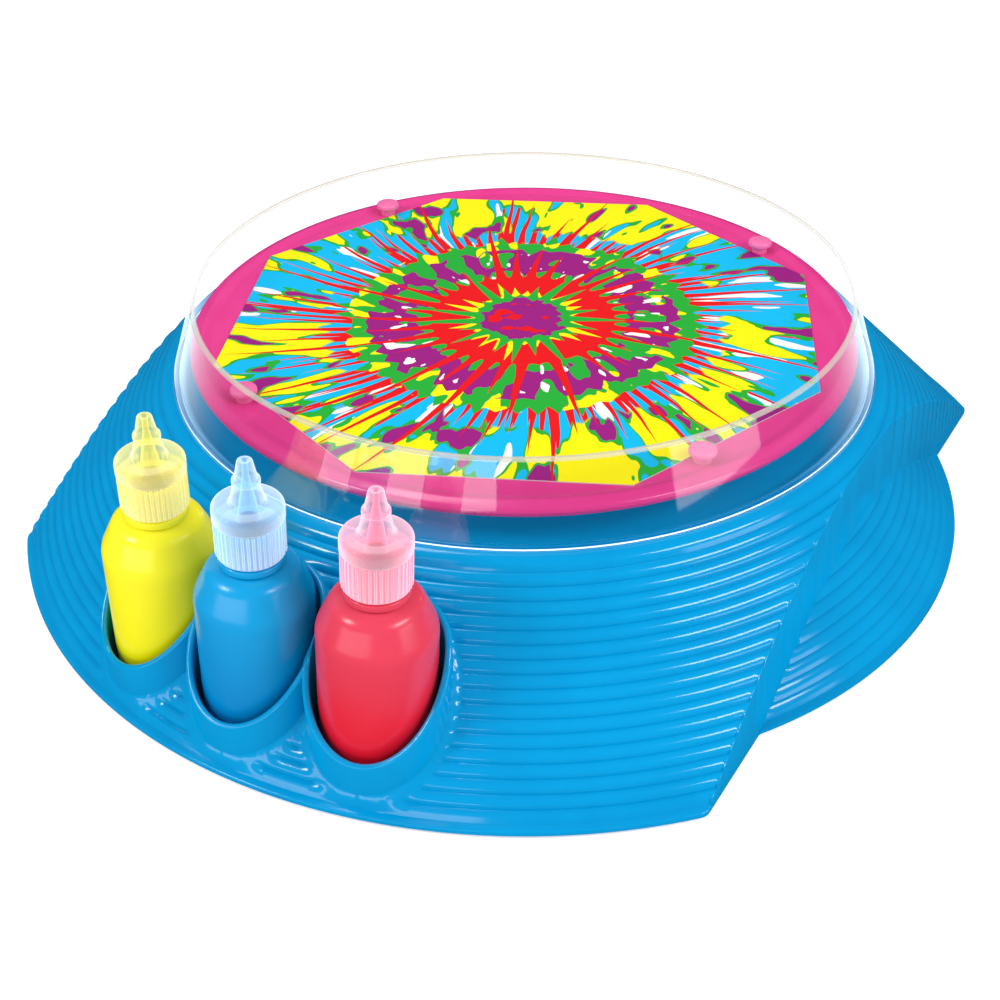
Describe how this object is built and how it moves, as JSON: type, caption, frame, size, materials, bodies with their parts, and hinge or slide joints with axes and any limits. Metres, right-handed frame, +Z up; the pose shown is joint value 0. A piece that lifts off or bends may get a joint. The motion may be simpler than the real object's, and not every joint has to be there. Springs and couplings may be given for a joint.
{
  "type": "spin art machine",
  "caption": "Battery spin art toy: a pegged turntable for paper in a ridged round base, with a lift-off clear splash guard and paint bottles standing in cups.",
  "frame": {"origin": "on the ground under the spindle, at the middle of the base", "axes": "+Z up along the spindle, +Y away from the bottle side, +X to the right seen from the bottle side"},
  "size_m": [0.3166, 0.326, 0.0882],
  "materials": {
    "base_blue": "glossy moulded plastic",
    "cover_blue": "fine textured moulded plastic",
    "rubber_black": "soft moulded rubber",
    "screw_steel": "zinc plated",
    "inner_white": "moulded plastic",
    "gear_white": "moulded acetal",
    "cell_sleeve": "printed sleeve left bare",
    "contact_steel": "nickel plated",
    "motor_steel": "plated can",
    "switch_black": "moulded plastic",
    "bush_brass": "turned",
    "plate_pink": "glossy moulded plastic",
    "paper_card": "painted card",
    "guard_clear": "clear moulded plastic",
    "bottle_red": "soft translucent plastic",
    "bottle_blue": "soft translucent plastic",
    "bottle_yellow": "soft translucent plastic",
    "paint_red": "liquid paint",
    "paint_blue": "liquid paint",
    "paint_yellow": "liquid paint",
    "cap_clear": "clear moulded plastic",
    "lead_red": "insulated wire",
    "lead_black": "insulated wire"
  },
  "bodies": {
    "base": {"base_shell": "base_blue", "bottle_cups": "base_blue", "bottom_cover": "cover_blue", "cover_screws": "screw_steel", "rubber_feet": "rubber_black", "battery_box": "inner_white", "battery_cells": "cell_sleeve", "battery_contacts": "contact_steel", "contact_springs": "contact_steel", "switch_body": "switch_black", "switch_screws": "screw_steel", "motor_mount": "inner_white", "mount_screws": "screw_steel", "motor_can": "motor_steel", "motor_end_cap": "switch_black", "motor_screws": "screw_steel", "upper_bush": "bush_brass", "lower_bush": "bush_brass", "lead_battery_switch": "lead_red", "lead_switch_motor": "lead_red", "lead_motor_battery": "lead_black"},
    "turntable": {"spindle": "screw_steel", "spindle_gear": "gear_white", "spindle_clip": "screw_steel", "plate_hub": "gear_white", "plate_screw": "screw_steel", "turntable_plate": "plate_pink", "paper_pegs": "plate_pink", "paper_sheet": "paper_card"},
    "motor_rotor": {"motor_shaft": "screw_steel", "motor_pinion": "gear_white"},
    "guard": {"splash_guard": "guard_clear"},
    "switch_slider": {"switch_knob": "switch_black"},
    "battery_lid": {"battery_door": "cover_blue", "door_screw": "screw_steel"},
    "bottle_red": {"bottle_red": "bottle_red", "paint_red": "paint_red"},
    "cap_red": {"cap_red": "cap_clear"},
    "bottle_blue": {"bottle_blue": "bottle_blue", "paint_blue": "paint_blue"},
    "cap_blue": {"cap_blue": "cap_clear"},
    "bottle_yellow": {"bottle_yellow": "bottle_yellow", "paint_yellow": "paint_yellow"},
    "cap_yellow": {"cap_yellow": "cap_clear"}
  },
  "joints": [
    {"name": "turntable_spin", "type": "hinge", "parent": "base", "child": "turntable", "pos_m": [0, 0, 0.05], "axis": [0, 0, 1], "continuous": true},
    {"name": "motor_spin", "type": "hinge", "parent": "base", "child": "motor_rotor", "pos_m": [0, 0.024, 0.035], "axis": [0, 0, 1], "continuous": true},
    {"name": "guard_lift", "type": "slide", "parent": "base", "child": "guard", "axis": [0, 0, 1], "range_m": [0, 0.06]},
    {"name": "switch_slide", "type": "slide", "parent": "base", "child": "switch_slider", "axis": [-0.5, -0.866, 0], "range_m": [0, 0.0044]},
    {"name": "battery_lid_lift", "type": "slide", "parent": "base", "child": "battery_lid", "axis": [0, 0, -1], "range_m": [0, 0.04]},
    {"name": "bottle_red_lift", "type": "slide", "parent": "base", "child": "bottle_red", "axis": [0.0505, -0.0138, 0.9986], "range_m": [0, 0.075]},
    {"name": "cap_red_turn", "type": "hinge", "parent": "bottle_red", "child": "cap_red", "pos_m": [-0.0354, -0.13595, 0.06035], "axis": [0.0505, -0.0138, 0.9986], "range_deg": [0, 540]},
    {"name": "bottle_blue_lift", "type": "slide", "parent": "base", "child": "bottle_blue", "axis": [0.0515, -0.0294, 0.9982], "range_m": [0, 0.075]},
    {"name": "cap_blue_turn", "type": "hinge", "parent": "bottle_blue", "child": "cap_blue", "pos_m": [-0.06783, -0.12302, 0.06042], "axis": [0.0515, -0.0294, 0.9982], "range_deg": [0, 540]},
    {"name": "bottle_yellow_lift", "type": "slide", "parent": "base", "child": "bottle_yellow", "axis": [0.05, -0.0486, 0.9976], "range_m": [0, 0.075]},
    {"name": "cap_yellow_turn", "type": "hinge", "parent": "bottle_yellow", "child": "cap_yellow", "pos_m": [-0.09594, -0.10264, 0.06053], "axis": [0.05, -0.0486, 0.9976], "range_deg": [0, 540]}
  ],
  "couplings": [
    {"joint": "motor_spin", "follows": "turntable_spin", "ratio": -3}
  ]
}
